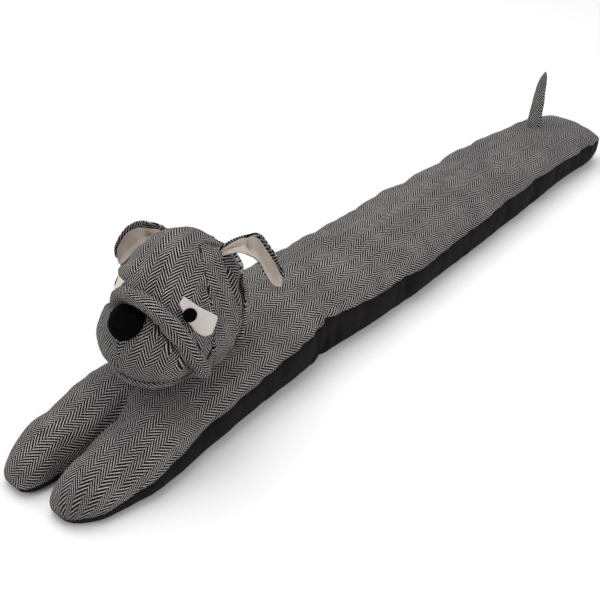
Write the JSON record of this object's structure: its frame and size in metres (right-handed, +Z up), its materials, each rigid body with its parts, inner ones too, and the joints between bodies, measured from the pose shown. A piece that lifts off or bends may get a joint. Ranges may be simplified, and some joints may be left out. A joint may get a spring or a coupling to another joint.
{
  "type": "draught excluder",
  "caption": "Long filled floor cushion shaped as a lying toy dog, with herringbone tweed top, black base, stuffed head, folded lined ears and upright tail, laid along a door to stop draughts.",
  "frame": {"origin": "centre of the flat underside that rests on the floor, midway between the paws' tips and the tail end", "axes": "+X from the paws to the tail end, +Y to the dog's right, +Z up from the floor"},
  "size_m": [0.923, 0.1661, 0.2115],
  "materials": {
    "tweed": "woven black and light grey herringbone wool tweed, matt and slightly hairy",
    "black_cotton": "plain woven black cotton, matt",
    "cream_cotton": "plain woven cream cotton, matt",
    "eye_cloth": "off-white cloth, matt",
    "black_felt": "black felt, matt and fuzzy"
  },
  "bodies": {
    "root": {"body_top": "tweed", "body_base": "black_cotton", "tail": "tweed", "head_back": "tweed", "forehead": "tweed", "cheek_near": "tweed", "cheek_far": "tweed", "muzzle_near": "tweed", "muzzle_far": "tweed", "muzzle_roll": "tweed", "lip": "tweed", "nose": "black_felt", "eye_near": "eye_cloth", "eye_far": "eye_cloth", "pupil_near": "black_felt", "pupil_far": "black_felt", "ear_near": "tweed", "ear_far": "tweed", "ear_lining_near": "cream_cotton", "ear_lining_far": "cream_cotton"}
  },
  "joints": []
}
